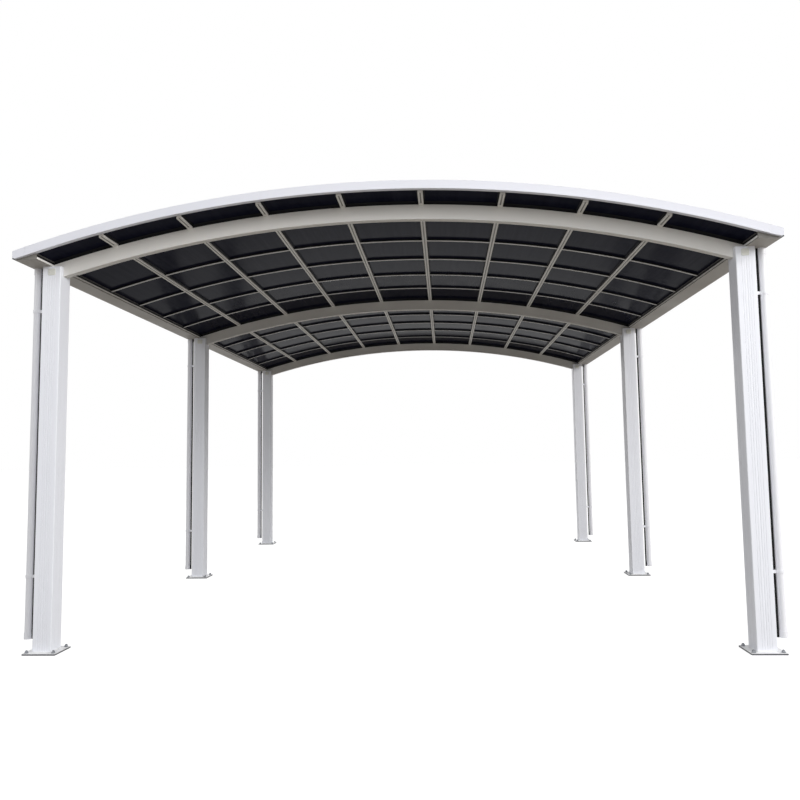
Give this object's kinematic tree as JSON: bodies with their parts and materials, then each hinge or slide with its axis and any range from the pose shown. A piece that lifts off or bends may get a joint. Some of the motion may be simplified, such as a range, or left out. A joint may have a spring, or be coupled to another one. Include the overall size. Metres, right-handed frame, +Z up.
{
  "type": "carport",
  "caption": "Open carport with fluted posts on base plates, arched beams, a curved dark glazed roof on purlins, box gutters and downpipes.",
  "frame": {"origin": "centre of the footprint on the ground, under the middle beam", "axes": "+X across the width, +Y along the length from front to rear, +Z up"},
  "size_m": [5.874, 7.622, 3.5926],
  "materials": {
    "white_metal": "satin powder coat",
    "plate_steel": "satin powder coat",
    "white_pipe": "semi-gloss",
    "black_rubber": "matt",
    "smoke_panel": "gloss, smoke grey"
  },
  "bodies": {
    "root": {"front_left_post": "white_metal", "front_right_post": "white_metal", "middle_left_post": "white_metal", "middle_right_post": "white_metal", "rear_left_post": "white_metal", "rear_right_post": "white_metal", "front_left_base_plate": "plate_steel", "front_right_base_plate": "plate_steel", "middle_left_base_plate": "plate_steel", "middle_right_base_plate": "plate_steel", "rear_left_base_plate": "plate_steel", "rear_right_base_plate": "plate_steel", "front_left_downpipe": "white_pipe", "front_right_downpipe": "white_pipe", "middle_left_downpipe": "white_pipe", "middle_right_downpipe": "white_pipe", "rear_left_downpipe": "white_pipe", "rear_right_downpipe": "white_pipe", "front_arched_beam": "white_metal", "middle_arched_beam": "white_metal", "rear_arched_beam": "white_metal", "left_gutter": "white_metal", "right_gutter": "white_metal", "front_fascia": "white_metal", "rear_fascia": "white_metal", "corner_caps": "white_metal", "pipe_clips": "white_pipe", "pipe_spacers": "black_rubber", "front_bay_cross_bars": "white_metal", "rear_bay_cross_bars": "white_metal", "purlin_1": "white_metal", "purlin_2": "white_metal", "purlin_3": "white_metal", "purlin_4": "white_metal", "purlin_5": "white_metal", "purlin_6": "white_metal", "purlin_7": "white_metal", "purlin_8": "white_metal", "roof_panel_1": "smoke_panel", "roof_panel_2": "smoke_panel", "roof_panel_3": "smoke_panel", "roof_panel_4": "smoke_panel", "roof_panel_5": "smoke_panel", "roof_panel_6": "smoke_panel", "roof_panel_7": "smoke_panel", "roof_panel_8": "smoke_panel", "roof_panel_9": "smoke_panel"}
  },
  "joints": []
}
